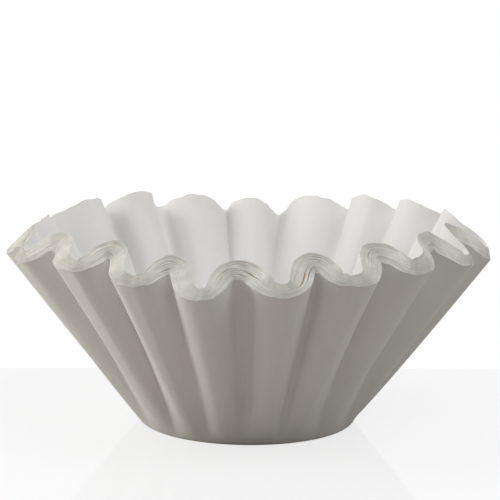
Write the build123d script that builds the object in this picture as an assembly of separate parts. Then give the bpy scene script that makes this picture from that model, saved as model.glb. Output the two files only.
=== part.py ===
from build123d import *
import math
import os

# Sizes in millimetres
base_diameter = 103.0  # across the foot, to the corner that the wall and the base would share
wall_slant = 104.0  # from the base fold to the cut edge, along the middle sheet
base_stack = 6.0  # nested sheets from the table to the floor of the cup
lobe_stack = 4.8  # nested sheets at the rim of an outward lobe, where they are pressed tight
valley_stack = 7.6  # nested sheets at the rim of an inward valley, where they spread
edge_step = 3.0  # how far the inmost cut edge stands past the outermost one, along the wall
valley_step = 1.6  # how much further it stands at an inward valley
flank_stack = 1.6  # what the stack gains between a lobe and a valley, where the sheets are loose
valley_lead = 0.3  # share of half a stack by which the sheets move inwards in a valley
foot_round = 4.0  # outside radius where the base turns up into the wall
floor_round = 2.0  # inside radius of the same fold

# Shape of the flutes
front_squareness = 1.3  # at the rim, near 0 is a plain wave, larger has flatter lobes and steeper flanks
back_squareness = 0.5  # the same at the back, where the sheets are looser
front_bias = 0.45  # 0 makes lobes and valleys alike, more gives broad lobes and narrow valleys
back_bias = -0.2  # the same at the back
flute_growth = 0.8  # 1 deepens a flute evenly up the wall, less gives more of it near the fold

# The flutes in order, anticlockwise from the front seen from above, in degrees:
# each row is a valley's angle, lean and breadth, then the angle and lean of the lobe that follows.
# An angle of 0 faces -Y and 90 faces +X. A lean is measured from the vertical. A breadth of 1 is
# plain, and more makes the valley broader and less makes it sharper.
flutes = [
    (-2.8, 32.6, 1.2, 7.8, 38),
    (16, 30.1, 1, 24.5, 36),
    (35.5, 28.1, 1, 43.5, 34),
    (57, 27.1, 1, 66, 36),
    (77, 27.1, 1, 87, 39),
    (97, 27.1, 1, 108, 35),
    (117.5, 24.3, 1, 133, 32),
    (140.5, 26.6, 1, 151.2, 34.8),
    (160.5, 30.6, 1, 172.5, 41.2),
    (180, 34.1, 1, 186.3, 38.5),
    (197, 31.1, 1, 206, 35.8),
    (218, 25.6, 0.94, 226, 33.8),
    (236, 27.6, 1, 247, 37),
    (259, 32.6, 1, 271, 37.8),
    (281, 33.1, 1, 292, 37),
    (301.5, 29.6, 1, 315.5, 35),
    (322.7, 28.6, 1, 333.5, 37),
    (341.5, 31.6, 1, 350, 39.5),
]

# Places on the rim where the sheets part: the middle and the spread in degrees, then what the
# stack gains there and how much further its inmost cut edge stands
partings = [
    (2.5, 5, 2.2, 0),
    (5, 45, 0, -1.2),
    (12.5, 5, 2.6, 0),
    (31.5, 5, 2.8, 0),
    (47, 7, 2.6, 2.4),
    (101, 12, 0, 2.6),
    (246, 7, 0, 2.2),
    (269, 16, 4.5, -1),
    (308, 5, 3.6, 0),
    (327.5, 5, 1.2, 0),
    (346, 6, 2, -1.3),
]

# The paper's skin is flat facets between straight creases
facets_per_flute = 12
wall_rows = 3
foot_rows = 3
floor_rows = 2
flat_volume = 1e-6  # four corners that span less than this, in cubic millimetres, are in one plane

# Where the wall and the flat would meet, at the mean lean of all lobes and valleys
mean_lean = sum(row[1] + row[4] for row in flutes) / (2 * len(flutes))
lean_sine = math.sin(math.radians(mean_lean))
lean_cosine = math.cos(math.radians(mean_lean))
outer_corner = base_diameter / 2
inner_corner = outer_corner - base_stack * (1 - lean_sine) / lean_cosine
middle_corner = (outer_corner + inner_corner) / 2

# Whole stations are valleys and halves are lobes
stations = [step / facets_per_flute for step in range(len(flutes) * facets_per_flute)]
nudge = 0.001


def ring_point(angle, radius, height):
    """Point at an angle in degrees from the front, a distance from the axis and a height."""
    turn = math.radians(angle)
    return Vector(radius * math.sin(turn), -radius * math.cos(turn), height)


def turning_point(index):
    """Angle and lean of an end of a half flute: even ones are valleys, odd ones lobes."""
    lap, place = divmod(index, 2 * len(flutes))
    valley_angle, valley_lean, _, lobe_angle, lobe_lean = flutes[place // 2]
    if place % 2:
        return lobe_angle + 360 * lap, lobe_lean
    return valley_angle + 360 * lap, valley_lean


def flute_wave(along, angle, climb):
    """Half a cosine wave from 0 in a valley to 1 on a lobe, flattened most on the front lobes' rim."""
    front = (1 + math.cos(math.radians(angle))) / 2
    squareness = (back_squareness + (front_squareness - back_squareness) * front) * climb
    bias = (back_bias + (front_bias - back_bias) * front) * climb
    valley = math.tanh(squareness - bias)
    lobe = math.tanh(-squareness - bias)
    here = math.tanh(squareness * math.cos(math.pi * along) - bias)
    return (valley - here) / (valley - lobe)


def flute_shape(station, climb=1):
    """Angle and lean of a flute at a station, and its share of the way from valley to lobe."""
    index = math.floor(2 * station)
    along = 2 * station - index
    angle, lean = turning_point(index)
    next_angle, next_lean = turning_point(index + 1)
    angle += (next_angle - angle) * along
    breadth = flutes[(index + 1) // 2 % len(flutes)][2]
    if index % 2:
        share = flute_wave((1 - along) ** breadth, angle, climb)
        return angle, next_lean + (lean - next_lean) * share, share
    share = flute_wave(along ** breadth, angle, climb)
    return angle, lean + (next_lean - lean) * share, share


def parted(station):
    """What the stack and the inmost cut edge gain at a station where the sheets part."""
    angle = flute_shape(station)[0]
    stack_gain = edge_gain = 0
    for middle, spread, more_stack, more_edge in partings:
        away = (angle - middle + 180) % 360 - 180
        fade = math.exp(-((away / spread) ** 2))
        stack_gain += fade * more_stack
        edge_gain += fade * more_edge
    return stack_gain, edge_gain


def rim_stack(station):
    """Thickness of the nested sheets at the rim."""
    share = flute_shape(station)[2]
    flank_share = 4 * share * (1 - share)
    pressed = valley_stack + (lobe_stack - valley_stack) * share
    return pressed + flank_stack * flank_share + parted(station)[0]


def middle_sheet(station, climb):
    """Point of the middle sheet, a share of the way from the base fold to its cut edge."""
    angle, lean, _ = flute_shape(station, climb)
    tilt = math.radians(mean_lean + (lean - mean_lean) * climb ** (flute_growth - 1))
    radius = middle_corner + climb * wall_slant * math.sin(tilt)
    return ring_point(angle, radius, base_stack / 2 + climb * wall_slant * math.cos(tilt))


def wall_point(station, climb, side):
    """Point of the outermost sheet (side 1) or the inmost (side -1), half a stack off the middle."""
    around = middle_sheet(station + nudge, climb) - middle_sheet(station - nudge, climb)
    up_wall = middle_sheet(station, climb + nudge) - middle_sheet(station, climb - nudge)
    outwards = around.cross(up_wall).normalized()
    stack = base_stack + (rim_stack(station) - base_stack) * climb
    lead = valley_lead * (1 - flute_shape(station, climb)[2]) * climb
    return middle_sheet(station, climb) + outwards * ((side - lead) * stack / 2)


def full_climb(station, side):
    """Climb at which a side's sheet is cut."""
    if side > 0:
        return 1 - edge_step / 2 / wall_slant
    valley_share = 1 - flute_shape(station)[2]
    return 1 + (edge_step / 2 + valley_step * valley_share + parted(station)[1]) / wall_slant


def wall_rings(side):
    """Rings of one wall from just above its fold to its cut edge."""
    shares = [(row + 1) / wall_rows for row in range(wall_rows)]
    return [
        [wall_point(station, share * full_climb(station, side), side) for station in stations]
        for share in shares
    ]


def fold_rings(corner, height, rounding, rows):
    """Rings of a rounded fold from the flat to the wall, an arc turned about the axis."""
    turn = math.radians(90 - mean_lean)
    flat_radius = corner - rounding * math.tan(turn / 2)
    rings = []
    for row in range(rows + 1):
        bend = turn * row / rows
        radius = flat_radius + rounding * math.sin(bend)
        level = height + rounding * (1 - math.cos(bend))
        rings.append([ring_point(flute_shape(station)[0], radius, level) for station in stations])
    return rings


def flat_facets(lower, upper):
    """One facet for each pair of neighbours on two rings, or two where it would be twisted."""
    facets = []
    for here in range(len(lower)):
        after = (here + 1) % len(lower)
        corners = [lower[here], lower[after], upper[after], upper[here]]
        sides = [corner - corners[0] for corner in corners[1:]]
        if abs(sides[0].cross(sides[1]).dot(sides[2])) < flat_volume:
            facets.append(Face(Wire.make_polygon(corners)))
            continue
        if (corners[3] - corners[1]).length < (corners[2] - corners[0]).length:
            corners = corners[1:] + corners[:1]
        for triangle in (corners[:3], corners[2:] + corners[:1]):
            facets.append(Face(Wire.make_polygon(triangle)))
    return facets


# From the base up the outside, over the cut rim and down the inside to the floor of the cup
outside = fold_rings(outer_corner, 0, foot_round, foot_rows) + wall_rings(1)
inside = fold_rings(inner_corner, base_stack, floor_round, floor_rows) + wall_rings(-1)
rings = outside + inside[::-1]

skin = [Face(Wire.make_polygon(rings[0])), Face(Wire.make_polygon(rings[-1]))]
for lower, upper in zip(rings, rings[1:]):
    skin += flat_facets(lower, upper)

filter_stack = Solid(Shell(skin))

os.makedirs("parts", exist_ok=True)
export_step(filter_stack, "parts/filter_stack.step")
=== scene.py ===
"""Nested stack of fluted paper coffee filters, with a plain pale stage."""

import math

import bpy
import numpy as np
from bpy.props import FloatProperty, FloatVectorProperty, IntProperty, PointerProperty
from mathutils import Matrix, Vector


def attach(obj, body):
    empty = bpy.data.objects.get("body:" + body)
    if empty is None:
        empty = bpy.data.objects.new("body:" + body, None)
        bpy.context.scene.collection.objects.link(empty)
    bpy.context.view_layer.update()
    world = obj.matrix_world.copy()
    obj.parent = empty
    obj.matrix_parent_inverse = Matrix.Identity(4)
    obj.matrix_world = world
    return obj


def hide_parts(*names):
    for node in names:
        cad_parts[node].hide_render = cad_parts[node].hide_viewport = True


bl_info = {
    "name": "Paper coffee filter stack",
    "version": (1, 0, 0),
    "blender": (4, 5, 0),
    "location": "View3D > Sidebar > Coffee Filter",
    "description": "Builds a nested stack of fluted basket filters and a pale stage",
    "category": "Object",
}

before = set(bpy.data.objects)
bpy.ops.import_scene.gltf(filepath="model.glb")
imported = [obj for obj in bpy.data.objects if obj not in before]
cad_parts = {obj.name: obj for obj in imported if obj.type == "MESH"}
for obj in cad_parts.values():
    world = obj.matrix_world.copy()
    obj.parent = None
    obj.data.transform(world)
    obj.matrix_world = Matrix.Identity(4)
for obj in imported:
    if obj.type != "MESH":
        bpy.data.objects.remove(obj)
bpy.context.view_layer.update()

# One row per flute, anticlockwise from the front seen from above, in degrees: a valley's angle,
# lean and breadth, then the angle and lean of the lobe that follows it. An angle of 0 faces -Y, a
# lean is from the vertical, and a breadth of 1 is plain.
FLUTES = np.array([
    (-2.8, 32.6, 1.2, 7.8, 38),
    (16, 30.1, 1, 24.5, 36),
    (35.5, 28.1, 1, 43.5, 34),
    (57, 27.1, 1, 66, 36),
    (77, 27.1, 1, 87, 39),
    (97, 27.1, 1, 108, 35),
    (117.5, 24.3, 1, 133, 32),
    (140.5, 26.6, 1, 151.2, 34.8),
    (160.5, 30.6, 1, 172.5, 41.2),
    (180, 34.1, 1, 186.3, 38.5),
    (197, 31.1, 1, 206, 35.8),
    (218, 25.6, 0.94, 226, 33.8),
    (236, 27.6, 1, 247, 37),
    (259, 32.6, 1, 271, 37.8),
    (281, 33.1, 1, 292, 37),
    (301.5, 29.6, 1, 315.5, 35),
    (322.7, 28.6, 1, 333.5, 37),
    (341.5, 31.6, 1, 350, 39.5),
])

# Places where the sheets part: middle and spread in degrees, what the stack gains there and how
# much further its inmost cut edge stands, in metres.
PARTINGS = (
    (2.5, 5, 0.0022, 0.0),
    (5, 45, 0.0, -0.0012),
    (12.5, 5, 0.0026, 0.0),
    (31.5, 5, 0.0028, 0.0),
    (47, 7, 0.0026, 0.0024),
    (101, 12, 0.0, 0.0026),
    (248.5, 7, 0.0, 0.0022),
    (259, 6, 0.0, -0.0008),
    (269, 16, 0.0045, -0.001),
    (308, 5, 0.0036, 0.0),
    (327.5, 5, 0.0012, 0.0),
    (346, 6, 0.002, -0.0013),
)

# Hollows that run up the outer sheets: middle and spread in degrees, depth in metres.
HOLLOWS = (
    (-0.4, 3.0, 0.0046),
    (17.5, 2.4, 0.0020),
)
HOLLOW_RISE = 0.25  # climb over which a hollow deepens, from the base fold
HOLLOW_TOP = 0.985  # climb at which it ends
HOLLOW_FADE = 0.07  # climb over which it fades below its end

# Open slits between sheets at the rim: station of the middle (whole numbers are valleys, halves
# are lobes), half length in stations, share of the stack from outside, opening and depth in metres.
SLITS = (
    (0.80, 0.14, 0.40, 0.0008, 0.0012),
    (0.85, 0.08, 0.28, 0.0004, 0.0010),
    (0.74, 0.03, 0.73, 0.0006, 0.0011),
    (1.82, 0.07, 0.50, 0.0003, 0.0009),
    (1.86, 0.06, 0.66, 0.0003, 0.0010),
    (1.80, 0.05, 0.82, 0.0003, 0.0009),
    (0.16, 0.07, 0.45, 0.0007, 0.0016),
    (17.86, 0.04, 0.60, 0.0006, 0.0012),
)

# Lines that wander round the rim: how many sines are summed, their fewest and most cycles per lap.
EDGE_WOBBLE_WAVES = (12, 30, 150)
SLOW_RIPPLE_WAVES = (9, 20, 60)
FAST_RIPPLE_WAVES = (9, 60, 150)
EDGE_WANDER_WAVES = (8, 4, 90)
GROOVE_WAVES = (6, 6, 60)
WALL_SEED = 11
RIM_SEED = 23
SLOW_RIPPLE_TURN = 2.2  # radians that a ripple turns through from the base fold to the rim
FAST_RIPPLE_TURN = 3.1
FAST_RIPPLE_SHARE = 0.25

# Grid of the skin. Climbs are shares of the way from the base fold to the rim.
COLUMNS_PER_FLUTE = 44
WALL_ROWS = 20
FOOT_ROWS = 6
FLOOR_ROWS = 5
LIP = 0.0004  # the wall's last row lies this far below its cut edge, in metres
FLUTE_START = 0.06  # climb over which the flutes grow out of the base fold
PLAIN_CLIMB = 0.02  # below this climb a flute keeps one shape
TINY_CLIMB = 1e-4  # keeps powers of the climb finite at the fold
SLOPE_STEP = 0.002  # climb over which the wall's slope is measured
EASING = (1, 2, 3, 2, 1)  # weights of a point and its neighbours along a row
SHARP_FOLD = math.radians(48)  # folds sharper than this are shaded as edges

# Cut edges, as shares of the size or the sheet that each belongs to.
SHEET_UNEVENNESS = 0.28  # how far a sheet's bound is off its even place
GROOVE_MOUTH = 0.14  # half the width of a groove, halfway between a lobe and a valley
RIM_SWELL = 0.10  # how far the middle sheets stand past a straight line across the rim
LOBE_STRAY = 0.45  # an edge's straying on a lobe, to which a valley adds 1
WANDER_SHARE = 0.6  # straying along the rim
OFFSET_SHARE = 0.5  # straying of a whole edge
OUTSIDE_STRAY = 0.5  # the outermost and inmost edges stray less
BOLDEST_GROOVE = 2.2
BOLDNESS_POWER = 3  # few grooves are bold
BOLDNESS_CHANGE = 0.7  # along the rim
BOLDNESS_RANGE = (0.06, 3)

# Masks that the paper's material reads, one number for each point of the skin. The flank mask
# places painted light and shade on the cut edges, and the crevice mask painted shade deep in the
# grooves.
MASKS = ("cut_edge", "crevice", "flank")

# Finish of the paper. Tones are shares of its colours.
CLOUD_SCALE = 55  # cycles per metre
BLOTCH_SCALE = 260
FACE_TONES = (0.94, 1.06)  # from the dark clouds of a face to the pale ones
FIBRE_TONE = 0.86
FIBRE_SHARE = 0.10
TIGHT_SHADED_AND_LIT_TONES = (0.80, 0.98)  # dark blotches of the cut edges, on lobes and valleys, then on flanks; painted shade makes lobes and valleys darker and painted light makes flanks lighter
LOOSE_SHADED_AND_LIT_TONES = (1.02, 1.25)  # pale blotches, in the same way, with the same painted shade and light
CREVICE_SHADE_DEPTHS = (0.0004, 0.0011)  # a groove turns the tan of painted shade between these depths, in metres
ROUGHNESS = 0.80
GRAIN_ROUGHNESS = 0.16  # what the grain adds
SHEEN = 0.22
CREPE_STRENGTH = 0.16

# Soft boxes, turned towards the stack: place, width and depth in metres, power in watts, tint.
LAMP_AIM = Vector((0, 0, 0.06))
LAMPS = {
    "overhead soft box": ((0.0, 0.25, 1.3), (1.3, 1.3), 2.2, (1.0, 1.0, 1.0)),
    "left soft box": ((-1.2, 0.1, 0.35), (0.7, 0.9), 8.2, (1.02, 1.0, 0.96)),
    "right soft box": ((1.2, 0.1, 0.35), (0.7, 0.9), 1.4, (1.0, 1.0, 1.0)),
    "high front soft box": ((0.45, -0.55, 1.25), (1.0, 0.6), 7.7, (0.98, 1.0, 1.03)),
    "high right soft box": ((0.9, -0.25, 1.0), (0.7, 0.7), 2.3, (0.98, 1.0, 1.03)),
    "high left soft box": ((-0.9, -0.25, 1.0), (0.7, 0.7), 4.5, (0.98, 1.0, 1.03)),
    "back soft box": ((0, 1.4, 0.5), (1.4, 0.7), 4.0, (1.0, 1.0, 1.0)),
    "low front soft box": ((0, -1.6, 0.25), (2.0, 0.5), 0.6, (1.05, 1.0, 0.93)),
    "front left soft box": ((-1.0, -0.9, 0.35), (0.7, 0.7), 0.8, (1.03, 1.0, 0.95)),
}
FLOOR_REACH = 4.0  # from the stack to the table top's front and sides, in metres
FLOOR_BLUR = 0.06  # roughness of the table top's polish
CAMERA_AIM = Vector((0.00067, 0, 0.0833))
SENSOR_WIDTH = 36  # millimetres
CAMERA_CLIP = (0.01, 50)
WHITE = (1, 1, 1, 1)


class FilterSizes(bpy.types.PropertyGroup):
    """Sizes of the stack and of its flutes."""

    base_diameter: FloatProperty(
        name="Base diameter", description="Across the foot, to the corner that wall and base share",
        default=0.103, unit="LENGTH")
    wall_slant: FloatProperty(
        name="Wall slant", description="From the base fold to the cut edge, along the middle sheet",
        default=0.104, unit="LENGTH")
    base_stack: FloatProperty(
        name="Base stack", description="Nested sheets from the table to the floor of the cup",
        default=0.006, unit="LENGTH")
    lobe_stack: FloatProperty(
        name="Lobe stack", description="Nested sheets at the rim of an outward lobe",
        default=0.0048, unit="LENGTH")
    valley_stack: FloatProperty(
        name="Valley stack", description="Nested sheets at the rim of an inward valley",
        default=0.0076, unit="LENGTH")
    edge_step: FloatProperty(
        name="Edge step", description="How far the inmost cut edge stands past the outermost one",
        default=0.003, unit="LENGTH")
    valley_step: FloatProperty(
        name="Valley step", description="How much further it stands at an inward valley",
        default=0.0016, unit="LENGTH")
    flank_stack: FloatProperty(
        name="Flank stack", description="What the stack gains between a lobe and a valley",
        default=0.0016, unit="LENGTH")
    valley_lead: FloatProperty(
        name="Valley lead",
        description="Share of half a stack that the sheets move inwards in a valley",
        default=0.3, subtype="FACTOR")
    foot_round: FloatProperty(
        name="Foot radius", description="Outside radius where the base turns up into the wall",
        default=0.004, unit="LENGTH")
    floor_round: FloatProperty(
        name="Floor radius", description="Inside radius of the same fold",
        default=0.002, unit="LENGTH")
    front_squareness: FloatProperty(
        name="Front squareness",
        description="Larger has flatter lobes and steeper flanks at the front",
        default=1.3)
    back_squareness: FloatProperty(
        name="Back squareness", description="The same at the back", default=0.5)
    front_bias: FloatProperty(
        name="Front bias", description="More gives broad lobes and narrow valleys at the front",
        default=0.45)
    back_bias: FloatProperty(
        name="Back bias", description="The same at the back", default=-0.2)
    growth: FloatProperty(
        name="Flute growth", description="1 deepens a flute evenly up the wall", default=0.8)
    sheets: IntProperty(
        name="Visible sheets", description="Cut edges that can be told apart at the rim",
        default=20)
    lobe_groove: FloatProperty(
        name="Lobe groove", description="Depth between neighbouring cut edges on a lobe",
        default=0.00004, unit="LENGTH")
    valley_groove: FloatProperty(
        name="Valley groove", description="Depth between neighbouring cut edges in a valley",
        default=0.00008, unit="LENGTH")
    edge_wander: FloatProperty(
        name="Edge wander", description="How far a cut edge strays up and down along the rim",
        default=0.0001, unit="LENGTH")
    edge_wobble: FloatProperty(
        name="Edge wobble",
        description="How far the cut edges rise and fall together along the rim",
        default=0.00035, unit="LENGTH")
    ripple: FloatProperty(
        name="Ripple", description="How far the paper strays in and out between its creases",
        default=0.00030, unit="LENGTH")


class FilterFinish(bpy.types.PropertyGroup):
    """Colours and grain of the paper."""

    paper: FloatVectorProperty(
        name="Paper", description="Face of a bleached sheet", subtype="COLOR",
        default=(0.80, 0.785, 0.76))
    # Painted shade: the cut-edge colour is the raw edges' warmer grey, darkened further to stand
    # for the shade in the fine gaps between the many sheets.
    cut_edge: FloatVectorProperty(
        name="Cut edges", description="Rough cut edges at the rim", subtype="COLOR",
        default=(0.61, 0.585, 0.54))
    crevice: FloatVectorProperty(
        name="Crevices", description="Shaded paper deep between two sheets", subtype="COLOR",
        default=(0.62, 0.40, 0.13))
    fibre_size: FloatProperty(
        name="Fibre size", description="Length of the paper's fibre pattern",
        default=0.0016, unit="LENGTH")
    crepe_size: FloatProperty(
        name="Crepe size", description="Distance between the fine wrinkles of the sheet",
        default=0.0009, unit="LENGTH")
    crepe_depth: FloatProperty(
        name="Crepe depth", description="Depth of the fine wrinkles",
        default=0.0003, unit="LENGTH")


class FilterStage(bpy.types.PropertyGroup):
    """Floor, light and camera."""

    floor_colour: FloatVectorProperty(
        name="Floor", description="Colour of the table top", subtype="COLOR",
        default=(0.96, 0.96, 0.96))
    floor_bounce: FloatVectorProperty(
        name="Floor bounce", description="Colour that the table top throws back onto the stack",
        subtype="COLOR", default=(0.43, 0.40, 0.365))
    floor_glow: FloatProperty(
        name="Floor glow", description="How little of the stack's shadow the table top shows",
        default=0.85, subtype="FACTOR")
    floor_polish: FloatProperty(
        name="Floor polish", description="How much of the stack the table top mirrors",
        default=0.07, subtype="FACTOR")
    floor_end: FloatProperty(
        name="Floor end", description="How far behind the stack the table top ends",
        default=0.109, unit="LENGTH")
    floor_skew: FloatProperty(
        name="Floor skew",
        description="How much further back the table top ends for each step to the right",
        default=0.048)
    room_light: FloatVectorProperty(
        name="Room light", description="Even light from all round", subtype="COLOR",
        default=(0.12, 0.12, 0.12))
    camera_distance: FloatProperty(
        name="Camera distance", description="From the camera to the point it is aimed at",
        default=0.88, unit="LENGTH")
    camera_height: FloatProperty(
        name="Camera elevation", description="Angle of the camera above the horizon",
        default=math.radians(9.2), subtype="ANGLE")
    camera_roll: FloatProperty(
        name="Camera roll", description="Turn of the camera about its own axis",
        default=math.radians(0.7), subtype="ANGLE")
    camera_view: FloatProperty(
        name="Field of view", description="Angle across the square picture",
        default=math.radians(15.59), subtype="ANGLE")


def blend(low, high, share):
    """Value a share of the way from low to high."""
    return low + (high - low) * share


def shortest_way(distance, lap):
    """Distance round a lap, wrapped to lie within half a lap either way."""
    return (distance + lap / 2) % lap - lap / 2


def bell(degrees, middle, spread):
    """Bell curve of an angle, 1 at its middle."""
    return np.exp(-((shortest_way(degrees - middle, 360) / spread) ** 2))


def waves(stations, rng, count, slowest, fastest):
    """Seeded wandering around the rim: a sum of sines, each a whole number of cycles per lap,
    with its own phase, scaled to a spread of about one."""
    cycles = rng.integers(slowest, fastest + 1, count)[:, None]
    phases = rng.uniform(0, 2 * np.pi, (count, 1))
    turns = 2 * np.pi * stations / len(FLUTES)
    return np.sin(cycles * turns + phases).sum(axis=0) * math.sqrt(2 / count)


class FlutedStack:
    """The wall of nested sheets as a function of three numbers: station, climb and layer.

    A station runs round the rim, whole numbers at valleys and halves at lobes. A climb of 0 is at
    the base fold and 1 at the cut edge of the middle sheet. A layer of 0 is the outermost sheet and
    1 the inmost.
    """

    def __init__(self, sizes):
        self.sizes = sizes
        self.stations = np.arange(len(FLUTES) * COLUMNS_PER_FLUTE) / COLUMNS_PER_FLUTE
        degrees = self.set_flutes()
        self.share = self.flute_wave(1.0)
        self.flank = 4 * self.share * (1 - self.share)  # 1 halfway between lobe and valley
        self.set_rim(degrees)
        self.set_base()

    def set_flutes(self):
        """Angle, leans and place along half a flute at each station, and the mean of all leans.
        Returns the angle in degrees."""
        valley_angle, valley_lean, breadth, lobe_angle, lobe_lean = FLUTES.T
        angles = np.append(np.stack([valley_angle, lobe_angle], axis=1), valley_angle[0] + 360)
        leans = np.append(np.stack([valley_lean, lobe_lean], axis=1), valley_lean[0])
        self.mean_lean = np.radians(leans[:-1].mean())
        half = np.floor(2 * self.stations).astype(int)
        along = 2 * self.stations - half
        rising = half % 2 == 0
        degrees = blend(angles[half], angles[half + 1], along)
        self.angle = np.radians(degrees)
        nearest_valley = (half + 1) // 2 % len(FLUTES)
        self.along = np.where(rising, along, 1 - along) ** breadth[nearest_valley]
        self.valley_lean = np.radians(np.where(rising, leans[half], leans[half + 1]))
        self.lobe_lean = np.radians(np.where(rising, leans[half + 1], leans[half]))
        return degrees

    def set_rim(self, degrees):
        """Thickness of the stack at the rim, climbs of its two cut edges, hollows and ripples."""
        sizes = self.sizes
        more_stack, more_edge = sum(np.outer(row[2:], bell(degrees, *row[:2])) for row in PARTINGS)
        self.hollow = sum(depth * bell(degrees, *place) for *place, depth in HOLLOWS)
        pressed = blend(sizes.valley_stack, sizes.lobe_stack, self.share)
        self.rim_stack = pressed + sizes.flank_stack * self.flank + more_stack

        rng = np.random.default_rng(WALL_SEED)
        outer_wobble = sizes.edge_wobble * waves(self.stations, rng, *EDGE_WOBBLE_WAVES)
        inner_wobble = sizes.edge_wobble * waves(self.stations, rng, *EDGE_WOBBLE_WAVES)
        half_step = sizes.edge_step / 2
        inner_rise = half_step + sizes.valley_step * (1 - self.share) + more_edge
        self.outer_climb = 1 - (half_step + outer_wobble) / sizes.wall_slant
        self.inner_climb = 1 + (inner_rise + inner_wobble) / sizes.wall_slant
        self.slow_ripple = waves(self.stations, rng, *SLOW_RIPPLE_WAVES)
        self.fast_ripple = waves(self.stations, rng, *FAST_RIPPLE_WAVES)

    def set_base(self):
        """Radii of the corners that the wall and the flat would share, at the mean lean."""
        sizes = self.sizes
        corner_shift = (1 - math.sin(self.mean_lean)) / math.cos(self.mean_lean)
        self.outer_corner = sizes.base_diameter / 2
        self.inner_corner = self.outer_corner - sizes.base_stack * corner_shift
        self.middle_corner = (self.outer_corner + self.inner_corner) / 2
        self.corner_climb = sizes.base_stack / 2 * corner_shift / sizes.wall_slant

    def flute_wave(self, climb):
        """Half a cosine wave from 0 in a valley to 1 on a lobe, flattened towards the rim by a
        hyperbolic tangent that is shifted so that the lobe is flattened more."""
        sizes = self.sizes
        climb = np.maximum(climb, PLAIN_CLIMB)
        front = (1 + np.cos(self.angle)) / 2
        squareness = blend(sizes.back_squareness, sizes.front_squareness, front) * climb
        bias = blend(sizes.back_bias, sizes.front_bias, front) * climb
        valley = np.tanh(squareness - bias)
        lobe = np.tanh(-squareness - bias)
        here = np.tanh(squareness * np.cos(np.pi * self.along) - bias)
        return (valley - here) / (valley - lobe)

    def ring(self, radius, height):
        """Points at the columns' angles, at a radius and a height."""
        radius, height = np.broadcast_arrays(radius, height)
        across, deep = radius * np.sin(self.angle), -radius * np.cos(self.angle)
        return np.stack([across, deep, height], axis=-1)

    def middle(self, climb):
        """Middle sheet: a straight climb up the wall at the flute's lean, which tends to the mean
        lean at the base fold."""
        sizes = self.sizes
        start = np.clip(climb / FLUTE_START, 0, 1)
        growth = np.maximum(climb, TINY_CLIMB) ** (sizes.growth - 1)
        depth = growth * start * start * (3 - 2 * start)
        lean = blend(self.valley_lean, self.lobe_lean, self.flute_wave(climb))
        tilt = blend(self.mean_lean, lean, depth)
        length = climb * sizes.wall_slant
        radius = self.middle_corner + length * np.sin(tilt)
        return self.ring(radius, sizes.base_stack / 2 + length * np.cos(tilt))

    def middle_shifted(self, climb, columns):
        """Middle sheet at the same climb, a number of columns on or back."""
        return np.roll(self.middle(np.roll(climb, -columns, axis=-1)), columns, axis=-2)

    def normal(self, climb):
        """Unit vector out of the middle sheet, across its slopes round the rim and up the wall."""
        around = self.middle_shifted(climb, -1) - self.middle_shifted(climb, 1)
        up_wall = self.middle(climb + SLOPE_STEP) - self.middle(climb - SLOPE_STEP)
        outwards = np.cross(around, up_wall)
        return outwards / np.linalg.norm(outwards, axis=-1, keepdims=True)

    def point(self, climb, layer):
        """A sheet lies off the middle one along the wall's normal, by its share of the stack, moved
        inwards in a valley, and strays with a ripple that grows up the wall. The outer sheets are
        pressed in at the hollows, each a bell curve across the wall that fades at both ends."""
        sizes = self.sizes
        climb = np.broadcast_to(climb, np.broadcast_shapes(np.shape(climb), self.share.shape))
        swell = np.clip(climb, 0, 1)
        stack = blend(sizes.base_stack, self.rim_stack, climb)
        lead = sizes.valley_lead * (1 - self.flute_wave(climb)) * swell / 2
        slow = self.slow_ripple * np.cos(SLOW_RIPPLE_TURN * climb)
        fast = self.fast_ripple * FAST_RIPPLE_SHARE * (1 + np.sin(FAST_RIPPLE_TURN * climb))
        ripple = sizes.ripple * swell * (slow + fast)
        risen = np.clip(climb / HOLLOW_RISE, 0, 1)
        unfaded = np.clip((HOLLOW_TOP - climb) / HOLLOW_FADE, 0, 1)
        pinch = self.hollow * (1 - layer) * risen * unfaded
        offset = stack * (0.5 - layer - lead) + ripple - pinch
        return self.middle(climb) + self.normal(climb) * offset[..., None]

    def fold(self, corner, height, rounding, rows):
        """Rounded fold from the flat to the wall: an arc about the axis, tangent to both."""
        turn = math.pi / 2 - self.mean_lean
        bend = np.linspace(0, turn, rows + 1)[:, None] + 0 * self.angle
        radius = corner - rounding * math.tan(turn / 2) + rounding * np.sin(bend)
        return self.ring(radius, height + rounding * (1 - np.cos(bend)))

    def wall(self, side, rounding):
        """Evenly spaced rows of the outside (side 1) or the inside (side -1), from just above its
        fold's arc to a lip below its cut edge."""
        sizes = self.sizes
        arc = rounding * math.tan((math.pi / 2 - self.mean_lean) / 2) / sizes.wall_slant
        start = arc - side * self.corner_climb
        top = (self.outer_climb if side > 0 else self.inner_climb) - LIP / sizes.wall_slant
        steps = (np.arange(1, WALL_ROWS + 1) / WALL_ROWS)[:, None]
        return self.point(blend(start, top, steps), 0.0 if side > 0 else 1.0)


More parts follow.
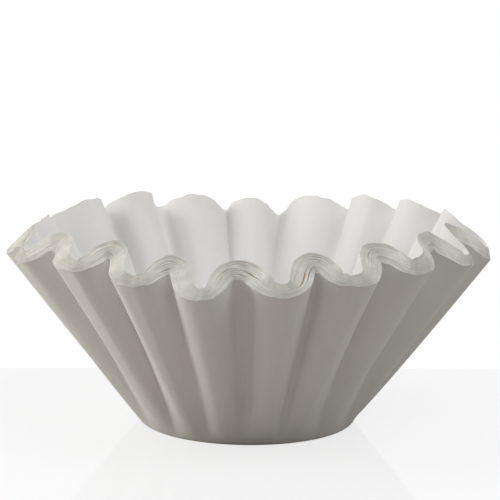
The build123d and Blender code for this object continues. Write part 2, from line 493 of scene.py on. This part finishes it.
def cut_edges(stack):
    """Where the sheets meet across the stack, how far each cut edge strays along the wall and how
    deep the groove behind it is. Sheets are uneven, edges stray more in a valley, and a cubed
    random number leaves few grooves bold."""
    sizes = stack.sizes
    count = sizes.sheets
    rng = np.random.default_rng(RIM_SEED)
    valley = 1 - stack.share
    bounds = np.linspace(0, 1, count + 1)
    bounds[1:-1] += rng.uniform(-SHEET_UNEVENNESS, SHEET_UNEVENNESS, count - 1) / count
    wander = np.stack([waves(stack.stations, rng, *EDGE_WANDER_WAVES) for _ in range(count)])
    offset = rng.normal(0, 1, (count, 1))
    looseness = sizes.edge_wander * (LOBE_STRAY + valley)
    stray = looseness * (WANDER_SHARE * wander + OFFSET_SHARE * offset)
    stray[[0, -1]] *= OUTSIDE_STRAY
    boldness = BOLDEST_GROOVE * rng.uniform(0, 1, (count, 1)) ** BOLDNESS_POWER
    change = np.stack([waves(stack.stations, rng, *GROOVE_WAVES) for _ in range(count)])
    boldness = np.clip(boldness * (1 + BOLDNESS_CHANGE * change), *BOLDNESS_RANGE)
    return bounds, stray, blend(sizes.lobe_groove, sizes.valley_groove, valley) * boldness


def open_slits(stack, bounds, depth):
    """Layers of each sheet's outer corner, inner corner and groove, with the slits opened. A slit
    is a lens along the rim: it pushes the sheets on its two sides apart, within the stack, and
    deepens the groove there. Returns the layers, three rows a sheet, and the new depths."""
    count = len(depth)
    depth = depth.copy()
    valley = 1 - stack.share
    mouth = GROOVE_MOUTH / count * (0.5 + valley) + np.zeros((count, 1))
    outer = bounds[:-1, None] + mouth
    inner = bounds[1:, None] - mouth
    groove = bounds[1:, None] + 0 * mouth
    outer[0], inner[-1] = 0, 1
    sheet = np.arange(count)[:, None]
    for station, half_length, layer, opening, slit_depth in SLITS:
        away = shortest_way(stack.stations - station, len(FLUTES))
        lens = np.clip(1 - (away / half_length) ** 2, 0, 1)
        nearest = 1 + int(np.argmin(np.abs(bounds[1:-1] - layer)))
        middle = bounds[nearest]
        gap = opening / 2 / stack.rim_stack * lens
        below = (middle - gap) / middle
        above = (1 - middle - gap) / (1 - middle)
        outer = np.where(sheet < nearest, outer * below, 1 - (1 - outer) * above)
        inner = np.where(sheet < nearest, inner * below, 1 - (1 - inner) * above)
        moved = np.where(sheet + 1 < nearest, groove * below, 1 - (1 - groove) * above)
        groove = np.where(sheet + 1 == nearest, groove, moved)
        depth[nearest - 1] += slit_depth * lens
    return np.stack([outer, inner, groove], axis=1), depth


def rim_rows(stack):
    """Cut edges across the rim, three rows a sheet: its outer corner, its inner corner and the
    bottom of the groove behind it. An edge follows the line between the outermost and the inmost
    edges, swollen a little in the middle, and strays. Returns points and the grooves' depths."""
    bounds, stray, depth = cut_edges(stack)
    layers, depth = open_slits(stack, bounds, depth)
    swollen = layers + RIM_SWELL * np.sin(np.pi * layers)
    drop = np.stack([0 * depth, 0 * depth, depth], axis=1)
    climbs = blend(stack.outer_climb, stack.inner_climb, swollen)
    climbs += (stray[:, None] - drop) / stack.sizes.wall_slant
    columns = len(stack.stations)
    layers, climbs, drop = (rows.reshape(-1, columns)[:-1] for rows in (layers, climbs, drop))
    return stack.point(climbs, layers), drop


def eased(rows):
    """Rows with each point moved to a weighted mean of its neighbours along the row, which rounds
    off creases narrower than the paper can take."""
    reach = len(EASING) // 2
    shifted = (np.roll(rows, place - reach, axis=1) for place in range(len(EASING)))
    return sum(weight * row for weight, row in zip(EASING, shifted)) / sum(EASING)


def paper_stack_mesh(sizes):
    """Closed skin of the stack: a grid of rows round the axis, from the middle of the base up the
    outside, over the cut edges, down the inside and in to the middle of the cup's floor. Returns
    points, faces, and for each point whether it is on a cut edge, how deep it is in a groove and
    whether it is on a flank between a lobe and a valley."""
    stack = FlutedStack(sizes)
    foot = stack.fold(stack.outer_corner, 0, sizes.foot_round, FOOT_ROWS)
    floor = stack.fold(stack.inner_corner, sizes.base_stack, sizes.floor_round, FLOOR_ROWS)
    halfway = np.array([0.5, 0.5, 1])
    rim, depths = rim_rows(stack)
    outside = np.concatenate([foot[:1] * halfway, foot, stack.wall(1, sizes.foot_round)])
    inside = np.concatenate([floor[:1] * halfway, floor, stack.wall(-1, sizes.floor_round)])
    rows = eased(np.concatenate([outside, rim, inside[::-1]]))
    count, around = rows.shape[:2]
    points = np.concatenate([[[0, 0, 0]], rows.reshape(-1, 3), [[0, 0, sizes.base_stack]]])

    on_rim = slice(len(outside), len(outside) + len(rim))
    cut_edge, crevice = np.zeros((2, count, around))
    cut_edge[on_rim] = 1
    crevice[on_rim] = depths
    # Flank mask, which the material uses to paint the cut edges lighter on flanks than on lobes and
    # valleys, as painted light and shade.
    flank = cut_edge * stack.flank
    masks = [np.concatenate([[0], mask.ravel(), [0]]) for mask in (cut_edge, crevice, flank)]

    index = 1 + np.arange(count * around).reshape(count, around)
    after = np.roll(index, -1, axis=1)
    quads = np.stack([index[:-1], after[:-1], after[1:], index[1:]], axis=-1).reshape(-1, 4)
    base = np.stack([np.zeros(around, int), after[0], index[0]], axis=-1)
    cup = np.stack([np.full(around, len(points) - 1), index[-1], after[-1]], axis=-1)
    return points, [*base.tolist(), *quads.tolist(), *cup.tolist()], masks


def new_mesh_object(name, points, faces):
    """Mesh object at the origin, linked to the scene."""
    mesh = bpy.data.meshes.new(name)
    mesh.from_pydata(np.asarray(points).tolist(), [], faces)
    mesh.update()
    made = bpy.data.objects.new(name, mesh)
    bpy.context.scene.collection.objects.link(made)
    return made


class Signal:
    """An output socket of a shader tree. Arithmetic on signals adds Math nodes."""

    def __init__(self, tree, socket=None):
        self.tree = tree
        self.socket = socket

    def node(self, kind, settings=None, inputs=None, output=0):
        """Adds a node, sets it up, then gives its sockets values or links."""
        made = self.tree.nodes.new(kind)
        for name, value in (settings or {}).items():
            setattr(made, name, value)
        for name, value in (inputs or {}).items():
            if isinstance(value, Signal):
                self.tree.links.new(value.socket, made.inputs[name])
            else:
                made.inputs[name].default_value = value
        return Signal(self.tree, made.outputs[output]) if len(made.outputs) else made

    def math(self, operation, first, second):
        """Math node on two signals or numbers."""
        return self.node("ShaderNodeMath", {"operation": operation}, {0: first, 1: second})

    def __add__(self, other):
        return self.math("ADD", self, other)

    def __radd__(self, other):
        return self.math("ADD", other, self)

    def __sub__(self, other):
        return self.math("SUBTRACT", self, other)

    def __rsub__(self, other):
        return self.math("SUBTRACT", other, self)

    def __mul__(self, other):
        return self.math("MULTIPLY", self, other)

    def __rmul__(self, other):
        return self.math("MULTIPLY", other, self)

    def __abs__(self):
        return self.node("ShaderNodeMath", {"operation": "ABSOLUTE"}, {0: self})

    def smooth(self, low, high):
        """0 below low, 1 above high, with a smooth step between."""
        return self.node("ShaderNodeMapRange", {"interpolation_type": "SMOOTHSTEP"},
                         {"Value": self, "From Min": low, "From Max": high})

    def mix(self, first, second):
        """Colour that goes from the first to the second as this signal goes from 0 to 1."""
        return self.node("ShaderNodeMix", {"data_type": "RGBA"},
                         {0: self, 6: first, 7: second}, output=2)

    def noise(self, scale, detail, **more):
        """Noise at this place, between 0 and 1, with a number of cycles per metre."""
        inputs = {"Vector": self, "Scale": scale, "Detail": detail, **more}
        return self.node("ShaderNodeTexNoise", {"normalize": True}, inputs, "Fac")


def new_tree(material):
    """Empty node tree of a material or a world."""
    material.use_nodes = True
    material.node_tree.nodes.clear()
    return Signal(material.node_tree)


def seen_directly(tree):
    """1 for rays that show a surface to the camera, straight, mirrored or through glass, else 0."""
    rays = ("Is Camera Ray", "Is Glossy Ray", "Is Transmission Ray")
    straight, mirrored, through = (tree.node("ShaderNodeLightPath", output=ray) for ray in rays)
    return straight + mirrored + through


def mixed_shader(tree, factor, first, second):
    """Shader that goes from the first to the second as the factor goes from 0 to 1."""
    return tree.node("ShaderNodeMixShader", None, {0: factor, 1: first, 2: second})


def colour(value, factor=1.0):
    """Colour with its alpha, brightened or darkened by a factor."""
    return (*(min(1.0, channel * factor) for channel in value), 1.0)


def tones(value, factors):
    """The same colour in several tones."""
    return [colour(value, factor) for factor in factors]


def paper_material(finish):
    """Bleached filter paper: soft clouds of tone, fine crossing fibres, a crepe of small wrinkles,
    and rough, warmer cut edges, blotchy and paler where the sheets are loose. The cut edges carry
    painted shade of the gaps between sheets and are painted darker on lobes and valleys and lighter
    on flanks, as painted shade and light, with painted tan shade deep between the sheets."""
    material = bpy.data.materials.new("filter paper")
    tree = new_tree(material)
    place = tree.node("ShaderNodeTexCoord", output="Object")
    clouds = place.noise(CLOUD_SCALE, 3)
    grain = place.noise(1 / finish.crepe_size, 4, Roughness=0.65)
    patches = place.noise(BLOTCH_SCALE, 2).smooth(0.3, 0.7)
    strands = place.noise(1 / finish.fibre_size, 2, Distortion=1.6)
    fibres = 1 - abs(strands - 0.5).smooth(0.0, 0.045)
    cut_edge, crevice, flank = (
        tree.node("ShaderNodeAttribute", {"attribute_name": mask}, output="Fac") for mask in MASKS)

    tone = (clouds - 0.5) * 0.5 + (grain - 0.5) * 0.35 + 0.5
    face = tone.mix(*tones(finish.paper, FACE_TONES))
    face = (fibres * FIBRE_SHARE).mix(face, colour(finish.paper, FIBRE_TONE))
    # Painted shade and light: the cut edges are darker on lobes and valleys and lighter on flanks,
    # where the flank mask rises to 1.
    tight = flank.mix(*tones(finish.cut_edge, TIGHT_SHADED_AND_LIT_TONES))
    loose = flank.mix(*tones(finish.cut_edge, LOOSE_SHADED_AND_LIT_TONES))
    rough_edge = (grain * 0.45 + patches * 0.55).mix(tight, loose)
    surface = cut_edge.mix(face, rough_edge)
    # Painted shade: deep in a groove between sheets the paper turns the tan crevice colour.
    surface = crevice.smooth(*CREVICE_SHADE_DEPTHS).mix(surface, colour(finish.crevice))

    bump = tree.node("ShaderNodeBump", None, {
        "Strength": CREPE_STRENGTH, "Distance": finish.crepe_depth,
        "Height": grain * 0.6 + fibres * 0.4})
    shader = tree.node("ShaderNodeBsdfPrincipled", None, {
        "Base Color": surface, "Roughness": ROUGHNESS + grain * GRAIN_ROUGHNESS,
        "Specular IOR Level": SHEEN, "Normal": bump})
    tree.node("ShaderNodeOutputMaterial", None, {"Surface": shader})
    return material


class FILTER_OT_paper_stack(bpy.types.Operator):
    """Build the nested stack of fluted paper sheets"""

    bl_idname = "coffee_filter.paper_stack"
    bl_label = "Paper Stack"

    def execute(self, context):
        points, faces, masks = paper_stack_mesh(context.scene.filter_sizes)
        paper = new_mesh_object("paper_stack", points, faces)
        mesh = paper.data
        for name, values in zip(MASKS, masks):
            attribute = mesh.attributes.new(name, "FLOAT", "POINT")
            attribute.data.foreach_set("value", values.astype(np.float32))
        mesh.shade_smooth()
        mesh.set_sharp_from_angle(angle=SHARP_FOLD)
        mesh.materials.append(paper_material(context.scene.filter_finish))
        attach(paper, "root")
        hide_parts("filter_stack")
        return {"FINISHED"}


def floor_material(settings):
    """Pale table top with a faint polish. Seen directly it is mostly its plain colour with part of
    the shadow, and it throws little light back up."""
    material = bpy.data.materials.new("table top")
    tree = new_tree(material)
    tone = colour(settings.floor_colour)
    lit = tree.node("ShaderNodeBsdfDiffuse", None, {"Color": tone})
    plain = tree.node("ShaderNodeEmission", None, {"Color": tone, "Strength": 1.0})
    gloss = tree.node("ShaderNodeBsdfGlossy", None, {"Color": WHITE, "Roughness": FLOOR_BLUR})
    dull = tree.node("ShaderNodeBsdfDiffuse", None, {"Color": colour(settings.floor_bounce)})
    matt = mixed_shader(tree, settings.floor_glow, lit, plain)
    polished = mixed_shader(tree, settings.floor_polish, matt, gloss)
    surface = mixed_shader(tree, seen_directly(tree), dull, polished)
    tree.node("ShaderNodeOutputMaterial", None, {"Surface": surface})
    return material


def soft_world(settings):
    """White to the eye and in reflections, and a dim even light on surfaces."""
    world = bpy.data.worlds.new("pale room")
    tree = new_tree(world)
    tone = seen_directly(tree).mix(colour(settings.room_light), WHITE)
    background = tree.node("ShaderNodeBackground", None, {"Color": tone, "Strength": 1.0})
    tree.node("ShaderNodeOutputWorld", None, {"Surface": background})
    return world


def soft_lamp(name, place, size, power, tint):
    """Rectangular soft box at a place, turned to the stack, that the table top doesn't mirror."""
    lamp = bpy.data.lights.new(name, "AREA")
    lamp.shape = "RECTANGLE"
    lamp.size, lamp.size_y = size
    lamp.energy = power
    lamp.color = tint
    made = bpy.data.objects.new(name, lamp)
    turn = (LAMP_AIM - Vector(place)).to_track_quat("-Z", "Y")
    made.matrix_world = Matrix.Translation(place) @ turn.to_matrix().to_4x4()
    made.visible_glossy = False
    bpy.context.scene.collection.objects.link(made)


def photo_camera(settings):
    """Camera in front of the stack, raised by its elevation, aimed a little below the rim."""
    camera = bpy.data.cameras.new("camera")
    camera.sensor_fit = "HORIZONTAL"
    camera.sensor_width = SENSOR_WIDTH
    camera.lens = camera.sensor_width / 2 / math.tan(settings.camera_view / 2)
    camera.clip_start, camera.clip_end = CAMERA_CLIP
    made = bpy.data.objects.new("camera", camera)
    rise, roll = settings.camera_height, settings.camera_roll
    back = Vector((0, -math.cos(rise), math.sin(rise)))
    across = Vector((1, 0, 0))
    up = back.cross(across)
    right = across * math.cos(roll) + up * math.sin(roll)
    above = up * math.cos(roll) - across * math.sin(roll)
    turn = Matrix((right, above, back)).transposed().to_4x4()
    made.matrix_world = Matrix.Translation(CAMERA_AIM + back * settings.camera_distance) @ turn
    bpy.context.scene.collection.objects.link(made)
    return made


class FILTER_OT_stage(bpy.types.Operator):
    """Set up the pale table top, soft light and camera"""

    bl_idname = "coffee_filter.stage"
    bl_label = "Stage"

    def execute(self, context):
        scene = context.scene
        settings = scene.filter_stage
        reach, far = FLOOR_REACH, settings.floor_end
        slip = reach * settings.floor_skew
        near_side = [(-reach, -reach, 0), (reach, -reach, 0)]
        far_side = [(reach, far + slip, 0), (-reach, far - slip, 0)]
        floor = new_mesh_object("table_top", near_side + far_side, [(0, 1, 2, 3)])
        floor.data.materials.append(floor_material(settings))
        for name, lamp in LAMPS.items():
            soft_lamp(name, *lamp)
        scene.world = soft_world(settings)
        scene.camera = photo_camera(settings)
        scene.view_settings.view_transform = "Standard"
        return {"FINISHED"}


class FILTER_PT_sidebar(bpy.types.Panel):
    """Sizes, finish and stage of the filter stack"""

    bl_idname = "FILTER_PT_sidebar"
    bl_label = "Coffee Filter"
    bl_space_type = "VIEW_3D"
    bl_region_type = "UI"
    bl_category = "Coffee Filter"

    def draw(self, context):
        groups = {
            "filter_sizes": FILTER_OT_paper_stack,
            "filter_finish": None,
            "filter_stage": FILTER_OT_stage,
        }
        for group, operator in groups.items():
            settings = getattr(context.scene, group)
            box = self.layout.box()
            for name in settings.__annotations__:
                box.prop(settings, name)
            if operator:
                box.operator(operator.bl_idname)


CLASSES = (
    FilterSizes, FilterFinish, FilterStage,
    FILTER_OT_paper_stack, FILTER_OT_stage, FILTER_PT_sidebar,
)


def register():
    for item in CLASSES:
        bpy.utils.register_class(item)
    bpy.types.Scene.filter_sizes = PointerProperty(type=FilterSizes)
    bpy.types.Scene.filter_finish = PointerProperty(type=FilterFinish)
    bpy.types.Scene.filter_stage = PointerProperty(type=FilterStage)


def unregister():
    del bpy.types.Scene.filter_stage
    del bpy.types.Scene.filter_finish
    del bpy.types.Scene.filter_sizes
    for item in reversed(CLASSES):
        bpy.utils.unregister_class(item)


def main():
    register()
    bpy.ops.coffee_filter.paper_stack()
    bpy.ops.coffee_filter.stage()


if __name__ == "__main__":
    main()
